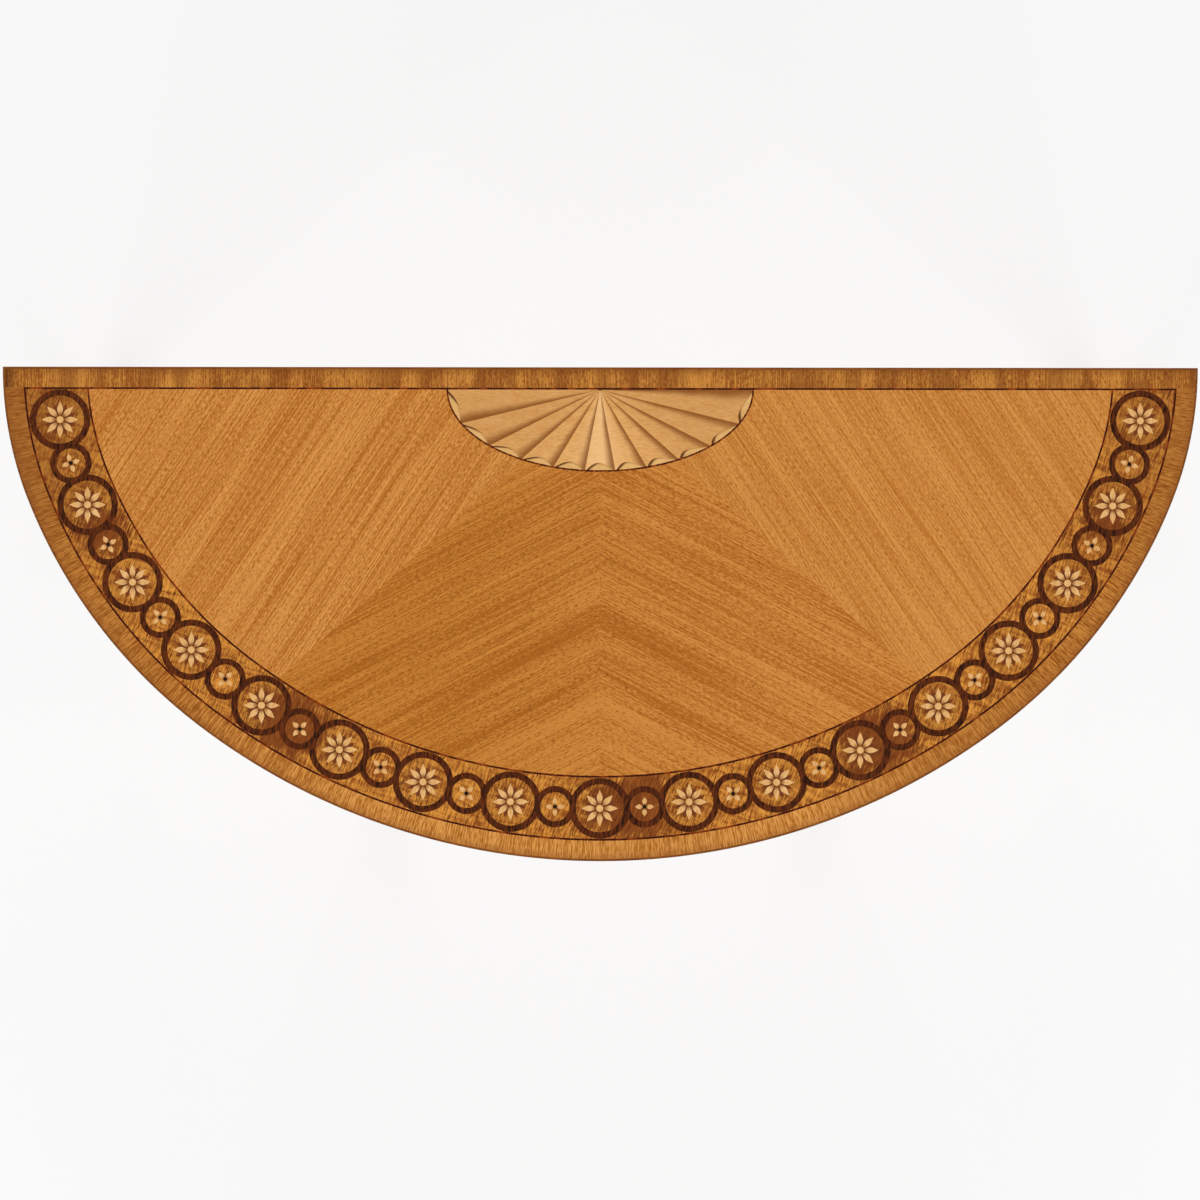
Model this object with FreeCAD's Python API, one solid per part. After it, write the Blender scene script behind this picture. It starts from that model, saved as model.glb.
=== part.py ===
import FreeCAD, Part
import math
import os

# Demilune pier table with an inlaid top. Millimetres, Z up, floor at Z = 0,
# front towards -Y, straight back edge towards the wall at +Y.

# Top outline: a five-centre curve (end, haunch, front, haunch, end).
WIDTH = 1220.0
END_RADIUS = 369.0
HAUNCH_RADIUS = 537.0
END_SWEEP = 21.5
FRONT_SWEEP = 37.5

# Top build-up.
HEIGHT = 865.0
CORE_THICK = 20.0
VENEER = 0.9
LIPPING = 2.2

# Lines and bands of the inlay, measured square to the edge.
STRING = 1.9
CROSSBAND = 18.7
BORDER = 62.4
FRONT_PIECES = 14
BACK_PIECES = 9

# Chain of roundels in the border.
ROUNDEL_PITCH = 45.7
RING_WIDTH = 6.4
INLAY_GAP = 0.2

# Half-oval fan on the back line and the joints of the field leaves.
FAN_HALF_WIDTH = 157.0
FAN_DEPTH = 84.0
FLUTES = 11
FLUTE_GROWTH = 0.045
LEAF_ANGLE = 42.0

# Apron, back rail, brace and glue blocks.
OVERHANG = 20.0
APRON_HEIGHT = 92.0
APRON_THICK = 24.0
BACK_SETBACK = 8.0
RAIL_THICK = 22.0
RAIL_INSET = 2.0
BRACE_THICK = 22.0
BRACE_HEIGHT = 50.0
HOUSING = 8.0
BLOCK = 18.0
BLOCK_LENGTH = 60.0

# Legs with spade feet.
LEG = 40.0
LEG_PROUD = 2.0
LEG_ANGLE = 22.0
ANKLE = 21.0
FOOT_HEIGHT = 66.0
FOOT_COLLAR = 10.0
FOOT_TOP = 31.0
FOOT_SOLE = 22.0

# Mortise and tenon joints.
TENON_THICK = 9.0
TENON_LENGTH = 17.0
TENON_SHOULDER = 14.0
MORTISE_GAP = 0.15

# Levels.
VENEER_Z = HEIGHT - VENEER
UNDERSIDE_Z = VENEER_Z - CORE_THICK
APRON_Z = UNDERSIDE_Z - APRON_HEIGHT

# Centres of the outline arcs, and the depth that follows from them.
END_X = WIDTH / 2 - END_RADIUS
STEP = HAUNCH_RADIUS - END_RADIUS
HAUNCH_X = END_X - STEP * math.cos(math.radians(END_SWEEP))
HAUNCH_BACK = STEP * math.sin(math.radians(END_SWEEP))
FRONT_RADIUS = HAUNCH_RADIUS + HAUNCH_X / math.sin(math.radians(FRONT_SWEEP))
FRONT_BACK = HAUNCH_BACK + HAUNCH_X / math.tan(math.radians(FRONT_SWEEP))
DEPTH = FRONT_RADIUS - FRONT_BACK
BACK_Y = DEPTH / 2
END_TURN = 90.0 - END_SWEEP
BREAKS = (-END_TURN, -FRONT_SWEEP, FRONT_SWEEP, END_TURN)

# Insets of the inlay from the outline, and its lines along the back.
OUTER_STRING_IN = LIPPING + CROSSBAND
BORDER_IN = OUTER_STRING_IN + STRING
INNER_STRING_IN = BORDER_IN + BORDER
FIELD_IN = INNER_STRING_IN + STRING
BACK_STRING_Y = BACK_Y - OUTER_STRING_IN
FIELD_Y = BACK_STRING_Y - STRING

# Insets of the apron and of the leg centres.
APRON_IN = OVERHANG + APRON_THICK
LEG_IN = OVERHANG - LEG_PROUD + LEG / 2
TENON_SHIFT = LEG_IN - OVERHANG - APRON_THICK / 2


def arc_at(turn):
    """Centre and radius of the outline arc whose normal is turned from the front."""
    side = math.copysign(1.0, turn)
    if abs(turn) <= FRONT_SWEEP:
        return 0.0, BACK_Y + FRONT_BACK, FRONT_RADIUS
    if abs(turn) <= END_TURN:
        return side * HAUNCH_X, BACK_Y + HAUNCH_BACK, HAUNCH_RADIUS
    return side * END_X, BACK_Y, END_RADIUS


def on_curve(inset, turn, z):
    x, y, radius = arc_at(turn)
    reach = radius - inset
    angle = math.radians(turn)
    return FreeCAD.Vector(x + reach * math.sin(angle), y - reach * math.cos(angle), z)


def length_at(inset, turn):
    """Length along an inset curve from the middle of the front."""
    swing = abs(turn)
    front = min(swing, FRONT_SWEEP) * (FRONT_RADIUS - inset)
    haunch = min(max(swing - FRONT_SWEEP, 0.0), END_TURN - FRONT_SWEEP) * (HAUNCH_RADIUS - inset)
    end = max(swing - END_TURN, 0.0) * (END_RADIUS - inset)
    return math.copysign(math.radians(front + haunch + end), turn)


def turn_at(inset, length):
    """Turn of the normal at a length along an inset curve."""
    front = length_at(inset, FRONT_SWEEP)
    haunch = length_at(inset, END_TURN)
    left = abs(length)
    if left <= front:
        turn = math.degrees(left / (FRONT_RADIUS - inset))
    elif left <= haunch:
        turn = FRONT_SWEEP + math.degrees((left - front) / (HAUNCH_RADIUS - inset))
    else:
        turn = END_TURN + math.degrees((left - haunch) / (END_RADIUS - inset))
    return math.copysign(turn, length)


def turn_of_line(inset, distance):
    """Turn at which an inset curve is a distance in front of the back edge."""
    return 90.0 - math.degrees(math.asin(distance / (END_RADIUS - inset)))


def curve_edges(inset, start, stop, z):
    """Tangent arcs of an inset curve between two turns."""
    stops = [start] + [turn for turn in BREAKS if start < turn < stop] + [stop]
    points = [on_curve(inset, turn, z) for turn in stops]
    edges = []
    for index in range(len(stops) - 1):
        middle = on_curve(inset, (stops[index] + stops[index + 1]) / 2, z)
        edges.append(Part.Arc(points[index], middle, points[index + 1]).toShape())
    return edges


def extrude(edges, height):
    wire = Part.Wire(Part.__sortEdges__(edges))
    return Part.Face(wire).extrude(FreeCAD.Vector(0, 0, height))


def band(outer, inner, start, stop, z, height):
    """Strip between two insets of the outline."""
    edges = curve_edges(outer, start, stop, z) + curve_edges(inner, start, stop, z)
    for turn in (start, stop):
        edges.append(Part.makeLine(on_curve(outer, turn, z), on_curve(inner, turn, z)))
    return extrude(edges, height)


def half_round(inset, z, height):
    """Whole sheet inside an inset, straight along the back edge."""
    back = Part.makeLine(on_curve(inset, -90.0, z), on_curve(inset, 90.0, z))
    return extrude(curve_edges(inset, -90.0, 90.0, z) + [back], height)


def box(x0, x1, y0, y1, z0, z1):
    return Part.makeBox(x1 - x0, y1 - y0, z1 - z0, FreeCAD.Vector(x0, y0, z0))


def strip_between(y0, y1):
    """Everything between two lines parallel to the back."""
    return box(-WIDTH, WIDTH, y0, y1, 0.0, 2 * HEIGHT)


def in_front(y):
    return strip_between(y - 2 * DEPTH, y)


def save(name, shapes):
    solids = [solid for shape in shapes for solid in shape.Solids]
    result = solids[0] if len(solids) == 1 else Part.makeCompound(solids)
    result.exportStep("parts/" + name + ".step")


os.makedirs("parts", exist_ok=True)

# Core board.
core = half_round(LIPPING, UNDERSIDE_Z, CORE_THICK)
save("top_core", [core.common(in_front(BACK_Y - LIPPING))])

# Bent lipping round the curve and a straight one along the back.
lip_height = HEIGHT - UNDERSIDE_Z
save("front_edge_lipping", [band(0.0, LIPPING, -90.0, 90.0, UNDERSIDE_Z, lip_height)])
lip_x = WIDTH / 2 - LIPPING
save("back_edge_lipping", [box(-lip_x, lip_x, BACK_Y - LIPPING, BACK_Y, UNDERSIDE_Z, HEIGHT)])

# Crossbands, laid in short lengths with the grain across.
band_middle = LIPPING + CROSSBAND / 2
band_end = length_at(band_middle, 90.0)
lengths = []
for index in range(FRONT_PIECES):
    start = turn_at(band_middle, band_end * (2 * index / FRONT_PIECES - 1))
    stop = turn_at(band_middle, band_end * (2 * (index + 1) / FRONT_PIECES - 1))
    lengths.append(band(LIPPING, OUTER_STRING_IN, start, stop, VENEER_Z, VENEER))
front_zone = in_front(BACK_STRING_Y)
save("front_crossband", [length.common(front_zone) for length in lengths])

back_zone = strip_between(BACK_STRING_Y, BACK_Y - LIPPING)
back_sheet = half_round(LIPPING, VENEER_Z, VENEER).common(back_zone)
lengths = []
for index in range(BACK_PIECES):
    start = WIDTH * (index / BACK_PIECES - 0.5)
    lengths.append(box(start, start + WIDTH / BACK_PIECES, -DEPTH, DEPTH, 0.0, 2 * HEIGHT))
save("back_crossband", [back_sheet.common(length) for length in lengths])

# Dark strings between crossband, border and field.
field_zone = in_front(FIELD_Y)
string_zone = strip_between(FIELD_Y, BACK_STRING_Y)
save("back_string", [half_round(OUTER_STRING_IN, VENEER_Z, VENEER).common(string_zone)])
outer_string = band(OUTER_STRING_IN, BORDER_IN, -90.0, 90.0, VENEER_Z, VENEER)
save("outer_string", [outer_string.common(field_zone)])
inner_string = band(INNER_STRING_IN, FIELD_IN, -90.0, 90.0, VENEER_Z, VENEER)
save("inner_string", [inner_string.common(field_zone)])

# Chain of roundels: the large ones all but touch the strings, the end ones the back
# string too, and every small one runs under the rims of its two neighbours.
chain_in = BORDER_IN + BORDER / 2
large_radius = BORDER / 2 - INLAY_GAP
end_turn = turn_of_line(chain_in, BACK_Y - FIELD_Y + large_radius + INLAY_GAP)
chain_length = length_at(chain_in, end_turn)
chain_steps = 2 * round(chain_length / (2 * ROUNDEL_PITCH))
pitch = chain_length / chain_steps
small_radius = pitch - large_radius + RING_WIDTH
large_roundels = []
small_discs = []
for step in range(-chain_steps, chain_steps + 1):
    centre = on_curve(chain_in, turn_at(chain_in, step * pitch), VENEER_Z)
    if step % 2 == 0:
        large_roundels.append(Part.makeCylinder(large_radius, VENEER, centre))
    else:
        small_discs.append(Part.makeCylinder(small_radius, VENEER, centre))
save("large_roundels", large_roundels)
small_roundels = []
for index, small in enumerate(small_discs):
    small_roundels.append(small.cut(large_roundels[index:index + 2]))
save("small_roundels", small_roundels)
border = band(BORDER_IN, INNER_STRING_IN, -90.0, 90.0, VENEER_Z, VENEER)
save("border_ground", [border.common(field_zone).cut(large_roundels + small_discs)])

# Half-oval fan: flutes from an apex on the back string, each a little wider along the rim
# than the one before it, counting from the middle.
apex = FreeCAD.Vector(0, FIELD_Y, VENEER_Z)
rim = Part.Ellipse(apex, FAN_HALF_WIDTH, FAN_DEPTH)
rim_line = Part.ArcOfEllipse(rim, math.pi, 2 * math.pi).toShape()
widths = [1 + FLUTE_GROWTH * abs(index - (FLUTES - 1) / 2) for index in range(FLUTES)]
marks = []
for count in range(FLUTES + 1):
    part = sum(widths[:count]) / sum(widths)
    marks.append(rim_line.getParameterByLength(part * rim_line.Length))
flutes = []
for low, high in zip(marks, marks[1:]):
    edges = [
        Part.makeLine(apex, rim.value(low)),
        Part.ArcOfEllipse(rim, low, high).toShape(),
        Part.makeLine(rim.value(high), apex),
    ]
    flutes.append(extrude(edges, VENEER))
save("fan_flutes", flutes)

# Four matched leaves of the field, jointed on lines from the fan's apex.
half_fan = FreeCAD.Vector(FAN_HALF_WIDTH, 0, 0)
fan = extrude([rim_line, Part.makeLine(apex - half_fan, apex + half_fan)], VENEER)
field = half_round(FIELD_IN, VENEER_Z, VENEER).common(field_zone).cut(fan)
joints = (0.0, LEAF_ANGLE, 90.0, 180.0 - LEAF_ANGLE, 180.0)
leaf_names = ("outer_left", "inner_left", "inner_right", "outer_right")
for name, start, stop in zip(leaf_names, joints, joints[1:]):
    far = []
    for angle in (start, stop):
        heading = math.radians(180.0 + angle)
        far.append(apex + FreeCAD.Vector(math.cos(heading), math.sin(heading), 0) * 2 * WIDTH)
    wedge = Part.Face(Part.makePolygon([apex, far[0], far[1], apex]))
    leaf = field.common(wedge.extrude(FreeCAD.Vector(0, 0, VENEER)))
    save("field_leaf_" + name, [leaf])

# Leg positions: front legs turned to face out of the curve, back legs square to the rail.
back_leg_y = BACK_Y - BACK_SETBACK - LEG / 2
back_leg_x = on_curve(LEG_IN, turn_of_line(LEG_IN, BACK_Y - back_leg_y), 0.0).x
front_leg = on_curve(LEG_IN, LEG_ANGLE, 0.0)
LEGS = {
    "back_left": (FreeCAD.Vector(-back_leg_x, back_leg_y, 0), 0.0),
    "front_left": (FreeCAD.Vector(-front_leg.x, front_leg.y, 0), -LEG_ANGLE),
    "front_right": (front_leg, LEG_ANGLE),
    "back_right": (FreeCAD.Vector(back_leg_x, back_leg_y, 0), 0.0),
}


def at_leg(shape, name):
    place, turn = LEGS[name]
    result = shape.copy()
    result.rotate(FreeCAD.Vector(0, 0, 0), FreeCAD.Vector(0, 0, 1), turn)
    result.translate(place)
    return result


def square_post(sections):
    """Square post through a list of (size, height) sections, flat between them."""
    levels = []
    for size, z in sections:
        half = size / 2
        corners = ((-half, -half), (half, -half), (half, half), (-half, half))
        levels.append([FreeCAD.Vector(x, y, z) for x, y in corners])
    outlines = [levels[0], levels[-1]]
    for lower, upper in zip(levels, levels[1:]):
        for index in range(4):
            after = (index + 1) % 4
            outlines.append([lower[index], lower[after], upper[after], upper[index]])
    faces = [Part.Face(Part.makePolygon(outline + outline[:1])) for outline in outlines]
    return Part.makeSolid(Part.makeShell(faces))


def tenon(name, face, shift, gap):
    """Tenon that enters one face of a leg, or with a gap its mortise."""
    half = TENON_THICK / 2 + gap
    root = LEG / 2 + APRON_THICK / 3
    low = APRON_Z + TENON_SHOULDER - gap
    high = UNDERSIDE_Z - TENON_SHOULDER + gap
    shape = box(LEG / 2 - TENON_LENGTH - gap, root, shift - half, shift + half, low, high)
    shape.rotate(FreeCAD.Vector(0, 0, 0), FreeCAD.Vector(0, 0, 1), face)
    return at_leg(shape, name)


# Every joint: leg, turn of the face entered, shift along that face, piece that enters.
rail_shift = LEG / 2 - RAIL_INSET - RAIL_THICK / 2
JOINTS = (
    ("back_left", -90.0, -TENON_SHIFT, "left"),
    ("front_left", 180.0, TENON_SHIFT, "left"),
    ("front_left", 0.0, -TENON_SHIFT, "centre"),
    ("front_right", 180.0, TENON_SHIFT, "centre"),
    ("front_right", 0.0, -TENON_SHIFT, "right"),
    ("back_right", -90.0, TENON_SHIFT, "right"),
    ("back_left", 0.0, rail_shift, "rail"),
    ("back_right", 180.0, -rail_shift, "rail"),
)


def tenons_of(piece):
    return [tenon(*joint[:3], 0.0) for joint in JOINTS if joint[3] == piece]


# Square legs: die block through the apron, taper to the ankle, spade foot.
post = square_post(
    [
        (FOOT_SOLE, 0.0),
        (FOOT_TOP, FOOT_HEIGHT - FOOT_COLLAR),
        (ANKLE, FOOT_HEIGHT),
        (LEG, APRON_Z),
        (LEG, UNDERSIDE_Z),
    ]
)
die = box(-LEG / 2, LEG / 2, -LEG / 2, LEG / 2, 0.0, HEIGHT)
dies = [at_leg(die, name) for name in LEGS]
for name in LEGS:
    entries = [joint[:3] for joint in JOINTS if joint[0] == name]
    mortises = [tenon(*entry, MORTISE_GAP) for entry in entries]
    save("leg_" + name, [at_leg(post, name).cut(mortises)])

# Back rail and the brace housed in it and in the middle of the apron.
rail_back = BACK_Y - BACK_SETBACK - RAIL_INSET
rail_front = rail_back - RAIL_THICK
rail_x = back_leg_x - LEG / 2
rail = box(-rail_x, rail_x, rail_front, rail_back, APRON_Z, UNDERSIDE_Z)
apron_face = on_curve(APRON_IN, 0.0, 0.0).y
brace_z = UNDERSIDE_Z - BRACE_HEIGHT
half_brace = BRACE_THICK / 2
brace = box(-half_brace, half_brace, apron_face - HOUSING, rail_front + HOUSING, brace_z, UNDERSIDE_Z)
save("back_rail", [rail.fuse(tenons_of("rail")).removeSplitter().cut(brace)])
save("centre_brace", [brace])

# Apron in three bent sections between the legs, tenoned into them at both ends.
SECTIONS = {
    "left": (-90.0, -LEG_ANGLE),
    "centre": (-LEG_ANGLE, LEG_ANGLE),
    "right": (LEG_ANGLE, 90.0),
}
for section, (start, stop) in SECTIONS.items():
    bend = band(OVERHANG, APRON_IN, start, stop, APRON_Z, APRON_HEIGHT)
    between_legs = max(bend.cut(dies).Solids, key=lambda piece: piece.Volume)
    apron = between_legs.fuse(tenons_of(section)).removeSplitter()
    save("apron_" + section, [apron.cut(brace)])

# Glue blocks rubbed into the corner under the top.
glue_blocks = []
for section, (start, stop) in SECTIONS.items():
    first = length_at(APRON_IN, start)
    last = length_at(APRON_IN, stop)
    for part in (1 / 3, 2 / 3):
        middle = first + part * (last - first)
        low = turn_at(APRON_IN, middle - BLOCK_LENGTH / 2)
        high = turn_at(APRON_IN, middle + BLOCK_LENGTH / 2)
        glue_blocks.append(band(APRON_IN, APRON_IN + BLOCK, low, high, UNDERSIDE_Z - BLOCK, BLOCK))
for middle in (-rail_x / 2, rail_x / 2):
    low = middle - BLOCK_LENGTH / 2
    high = middle + BLOCK_LENGTH / 2
    glue_blocks.append(box(low, high, rail_front - BLOCK, rail_front, UNDERSIDE_Z - BLOCK, UNDERSIDE_Z))
save("glue_blocks", glue_blocks)
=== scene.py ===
import bisect
import math
import bpy
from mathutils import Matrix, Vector


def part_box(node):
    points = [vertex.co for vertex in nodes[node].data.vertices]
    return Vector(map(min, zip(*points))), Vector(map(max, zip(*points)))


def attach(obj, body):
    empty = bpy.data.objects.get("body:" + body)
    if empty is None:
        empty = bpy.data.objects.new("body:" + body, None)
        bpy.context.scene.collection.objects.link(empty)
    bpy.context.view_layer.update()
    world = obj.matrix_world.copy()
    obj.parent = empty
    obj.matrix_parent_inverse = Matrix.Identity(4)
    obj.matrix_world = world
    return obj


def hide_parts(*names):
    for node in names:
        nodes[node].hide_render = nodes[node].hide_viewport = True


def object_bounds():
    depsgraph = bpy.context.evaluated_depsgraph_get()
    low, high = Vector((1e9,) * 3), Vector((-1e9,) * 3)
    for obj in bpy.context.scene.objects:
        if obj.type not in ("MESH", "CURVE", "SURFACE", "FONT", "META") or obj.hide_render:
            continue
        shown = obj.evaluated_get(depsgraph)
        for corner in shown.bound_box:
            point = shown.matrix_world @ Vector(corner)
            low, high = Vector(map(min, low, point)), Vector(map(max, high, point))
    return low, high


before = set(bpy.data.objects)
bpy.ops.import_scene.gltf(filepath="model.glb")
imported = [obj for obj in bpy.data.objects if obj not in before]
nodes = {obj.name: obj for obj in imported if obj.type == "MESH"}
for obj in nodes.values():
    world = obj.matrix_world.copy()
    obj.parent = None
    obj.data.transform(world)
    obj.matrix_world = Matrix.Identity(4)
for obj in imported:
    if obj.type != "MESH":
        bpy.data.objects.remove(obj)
cad_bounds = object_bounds()


# Legs: four square tapered legs of solid mahogany with spade feet.
# Sawn and planed, the grain runs up the leg; mortised for apron and rail.
SHINE = 0.08
DULLER = 0.2
SUNK = 0.00005
PORE_EDGE = 0.6
PORE_FLOOR = 0.76
# Grain lies in layers of (length, width, weight), in metres. Real fibres and pores are finer:
# they are drawn over a millimetre wide, coarse enough to show.
MAHOGANY = ((0.4, 0.014, 1.4), (0.1, 0.003, 1.2), (0.03, 0.0016, 1.2))
MAHOGANY_PORES = (0.012, 0.0012)


def colour(code):
    """Linear colour of an sRGB hex code."""
    parts = [int(code[i:i + 2], 16) / 255 for i in (1, 3, 5)]
    return [c / 12.92 if c <= 0.04045 else ((c + 0.055) / 1.055) ** 2.4 for c in parts] + [1.0]


def add(tree, kind, links, **settings):
    """Node with its settings; links give each named input a value or a socket to read."""
    node = tree.nodes.new(kind)
    for name, value in settings.items():
        setattr(node, name, value)
    for name, value in links.items():
        if isinstance(value, bpy.types.NodeSocket):
            tree.links.new(value, node.inputs[name])
        else:
            node.inputs[name].default_value = value
    return node


def timber(name, roughness):
    """Material of a wood, its node tree and the socket that takes its colour."""
    material = bpy.data.materials.new(name)
    material.use_nodes = True
    shader = material.node_tree.nodes["Principled BSDF"]
    shader.inputs["Roughness"].default_value = roughness
    shader.inputs["Specular IOR Level"].default_value = SHINE
    return material, material.node_tree, shader.inputs["Base Color"]


def lay(tree, turn, flip=(1, 1, 1), origin=(0, 0, 0)):
    """Object coordinates about an origin, turned so that X runs with the grain."""
    place = add(tree, "ShaderNodeTexCoord", {}).outputs["Object"]
    links = {0: place, 1: origin}
    about = add(tree, "ShaderNodeVectorMath", links, operation="SUBTRACT").outputs[0]
    links = {"Vector": about, "Rotation": [math.radians(angle) for angle in turn], "Scale": flip}
    return add(tree, "ShaderNodeMapping", links).outputs[0]


def streaks(tree, space, length, width, swirl=0.0):
    """Value from 0 to 1 in streaks of a length along X and a width across it."""
    size = (1 / length, 1 / width, 1 / width)
    spots = add(tree, "ShaderNodeVectorMath", {0: space, 1: size}, operation="MULTIPLY")
    links = {"Vector": spots.outputs[0], "Scale": 1.0, "Detail": 1.0, "Distortion": swirl}
    return add(tree, "ShaderNodeTexNoise", links).outputs[0]


def stained(tree, wood, tone, where, low, high, start=0.0, stop=1.0):
    """Wood that goes over to a tone, from start to stop, as a value runs from low to high."""
    links = {"Value": where, 1: low, 2: high, 3: start, 4: stop}
    amount = add(tree, "ShaderNodeMapRange", links, interpolation_type="SMOOTHSTEP")
    links = {0: amount.outputs[0], 6: wood, 7: colour(tone)}
    return add(tree, "ShaderNodeMix", links, data_type="RGBA").outputs[2]


def blended(tree, dark, light, grains):
    """Wood from a dark to a light tone, by grains of (streaks, weight)."""
    amount = 0.5 - sum(weight for value, weight in grains) / 2
    for value, weight in grains:
        links = {0: value, 1: weight, 2: amount}
        amount = add(tree, "ShaderNodeMath", links, operation="MULTIPLY_ADD").outputs[0]
    links = {0: amount, 6: colour(dark), 7: colour(light)}
    return add(tree, "ShaderNodeMix", links, data_type="RGBA").outputs[2]


def figure(tree, space, dark, light, layers):
    """Wood from a dark to a light tone, by layers of (length, width, weight) along X."""
    grains = [(streaks(tree, space, length, width), weight) for length, width, weight in layers]
    return blended(tree, dark, light, grains)


def sunk(tree, where, low, high):
    """Dulls the polish and sinks the surface as a value runs from low to high."""
    shader = tree.nodes["Principled BSDF"]
    polish = shader.inputs["Roughness"].default_value
    links = {"Value": where, 1: low, 2: high, 3: polish, 4: polish + DULLER}
    dull = add(tree, "ShaderNodeMapRange", links).outputs[0]
    tree.links.new(dull, shader.inputs["Roughness"])
    relief = add(tree, "ShaderNodeBump", {"Height": dull, "Distance": SUNK / DULLER}, invert=True)
    tree.links.new(relief.outputs[0], shader.inputs["Normal"])


def pored(tree, wood, tone, space, size, strength):
    """Wood with open pores of a length and width, darker and sunk below the polish."""
    pores = streaks(tree, space, *size)
    sunk(tree, pores, PORE_EDGE, PORE_FLOOR)
    return stained(tree, wood, tone, pores, PORE_EDGE, PORE_FLOOR, 0.0, strength)


# Straight-grained mahogany under a shellac polish: warm red brown with long soft streaks.
mahogany, tree, base = timber("mahogany", 0.4)
upright = lay(tree, (0, 90, 0))
wood = figure(tree, upright, "#8E501F", "#B87638", MAHOGANY)
tree.links.new(pored(tree, wood, "#5E3012", upright, MAHOGANY_PORES, 0.5), base)
for side in ("back_left", "front_left", "front_right", "back_right"):
    nodes["leg_" + side].data.materials[0] = mahogany


# Apron: three bent sections, faced with figured mahogany veneer.
# The veneer's grain stands upright; each section is tenoned into the legs.
FLAME_TURN = (0, 60, 0)
FLAME_BAND = (0.09, 0.022)
FLAME_SWIRL = 1.2
# Veneer cut for its flame: bands of light and dark that wander up the face.
flame, tree, base = timber("flame_mahogany_veneer", 0.38)
upright = lay(tree, (0, 90, 0))
wood = figure(tree, upright, "#93531F", "#BC7A3A", MAHOGANY)
wood = pored(tree, wood, "#61310F", upright, MAHOGANY_PORES, 0.5)
bands = streaks(tree, lay(tree, FLAME_TURN), *FLAME_BAND, FLAME_SWIRL)
tree.links.new(stained(tree, wood, "#6E3513", bands, 0.5, 0.7, 0.0, 0.4), base)
for section in ("left", "centre", "right"):
    nodes["apron_" + section].data.materials[0] = flame


# Back rail, brace and glue blocks: plain secondary wood, sawn and left unpolished.
# The rail is tenoned into the back legs, the brace housed, the blocks rubbed in with glue.
SOFTWOOD = ((0.5, 0.016, 2.0), (0.15, 0.004, 1.2), (0.03, 0.0018, 0.8))
SOFTWOOD_PORES = (0.03, 0.0014)
# Pale dry softwood with wide-set growth lines, no shine.
softwood, tree, base = timber("sawn_softwood", 0.75)
lengthwise = lay(tree, (0, 0, 0))
wood = figure(tree, lengthwise, "#B98E58", "#D3AC77", SOFTWOOD)
tree.links.new(pored(tree, wood, "#8C6234", lengthwise, SOFTWOOD_PORES, 0.4), base)
for name in ("back_rail", "centre_brace", "glue_blocks"):
    nodes[name].data.materials[0] = softwood


# Core of the top: a flat half-round board, seen only from below between the aprons.
# Jointed boards, planed and left bare.
# Browned bare softwood, a little darker than the rail.
board, tree, base = timber("bare_core_board", 0.7)
lengthwise = lay(tree, (0, 0, 0))
wood = figure(tree, lengthwise, "#9C7442", "#BB9159", SOFTWOOD)
tree.links.new(pored(tree, wood, "#74512A", lengthwise, SOFTWOOD_PORES, 0.4), base)
nodes["top_core"].data.materials[0] = board


# Lippings: thin strips of boxwood glued round the edge of the core, over the veneers' edges.
# The front one is bent to the five-centre curve and its upper arris is rubbed round.
END_RADIUS = 0.369
HAUNCH_RADIUS = 0.537
END_SWEEP = 21.5
FRONT_SWEEP = 37.5
CURVE_STEPS = 160
ARRIS = 0.0008
ARRIS_STEPS = 4
LIP_GRAIN = ((0.03, 0.004, 1.6), (0.01, 0.0015, 1.2))
LIP_PORES = (0.006, 0.0012)
half_width = cad_bounds[1].x
back_y = cad_bounds[1].y
top_z = cad_bounds[1].z
lip_low, lip_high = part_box("back_edge_lipping")
lipping = lip_high.y - lip_low.y
end_turn = 90.0 - END_SWEEP
end_x = half_width - END_RADIUS
step_in = HAUNCH_RADIUS - END_RADIUS
haunch_x = end_x - step_in * math.cos(math.radians(END_SWEEP))
haunch_y = back_y + step_in * math.sin(math.radians(END_SWEEP))
front_radius = HAUNCH_RADIUS + haunch_x / math.sin(math.radians(FRONT_SWEEP))
front_y = haunch_y + haunch_x / math.tan(math.radians(FRONT_SWEEP))


def on_curve(inset, turn):
    """Point at an inset from the outline where its normal has turned from the front."""
    side = math.copysign(1.0, turn)
    x, y, radius = side * end_x, back_y, END_RADIUS
    if abs(turn) <= FRONT_SWEEP:
        x, y, radius = 0.0, front_y, front_radius
    elif abs(turn) <= end_turn:
        x, y, radius = side * haunch_x, haunch_y, HAUNCH_RADIUS
    angle = math.radians(turn)
    return x + (radius - inset) * math.sin(angle), y - (radius - inset) * math.cos(angle)


def run_to(inset, turn):
    """Length along an inset curve from the middle of the front."""
    swing = abs(turn)
    run = min(swing, FRONT_SWEEP) * (front_radius - inset)
    run += min(max(swing - FRONT_SWEEP, 0.0), end_turn - FRONT_SWEEP) * (HAUNCH_RADIUS - inset)
    run += max(swing - end_turn, 0.0) * (END_RADIUS - inset)
    return math.copysign(math.radians(run), turn)


def made(name, points, faces, **values):
    """Object of a mesh, with a value for each point under each name given."""
    mesh = bpy.data.meshes.new(name)
    mesh.from_pydata(points, [], faces)
    for key, numbers in values.items():
        mesh.attributes.new(key, "FLOAT", "POINT").data.foreach_set("value", numbers)
    piece = bpy.data.objects.new(name, mesh)
    bpy.context.scene.collection.objects.link(piece)
    return piece


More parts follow.
